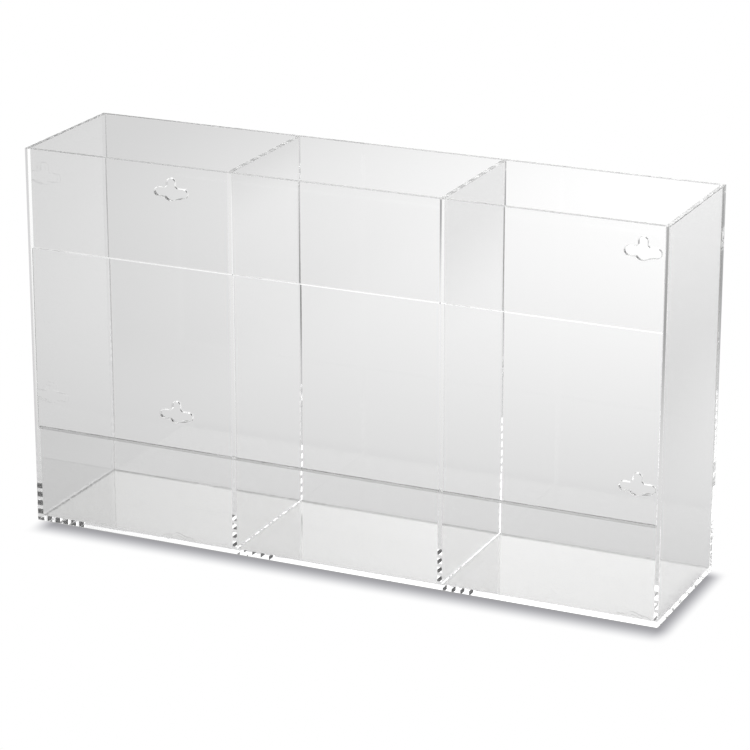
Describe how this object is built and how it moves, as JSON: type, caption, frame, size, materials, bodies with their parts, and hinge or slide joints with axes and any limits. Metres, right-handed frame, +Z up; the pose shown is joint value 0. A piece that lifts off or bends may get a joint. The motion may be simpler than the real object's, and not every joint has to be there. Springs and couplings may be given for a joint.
{
  "type": "wall-mountable clear box holder",
  "caption": "Clear open-topped acrylic holder divided into upright bays, with a low front lip, an open front window, a top front strip and a keyholed back panel.",
  "frame": {"origin": "middle of the underside: centred on the width and the depth, on the surface that the holder stands on", "axes": "+X along the width, to the right of a person facing the front; +Y from the open front towards the wall; +Z up"},
  "size_m": [0.457, 0.108, 0.267],
  "materials": {
    "clear_acrylic": "polished"
  },
  "bodies": {
    "root": {"back_panel": "clear_acrylic", "left_side_panel": "clear_acrylic", "right_side_panel": "clear_acrylic", "floor_panel": "clear_acrylic", "left_divider": "clear_acrylic", "right_divider": "clear_acrylic", "upper_front_panel": "clear_acrylic", "lower_front_lip": "clear_acrylic"}
  },
  "joints": []
}
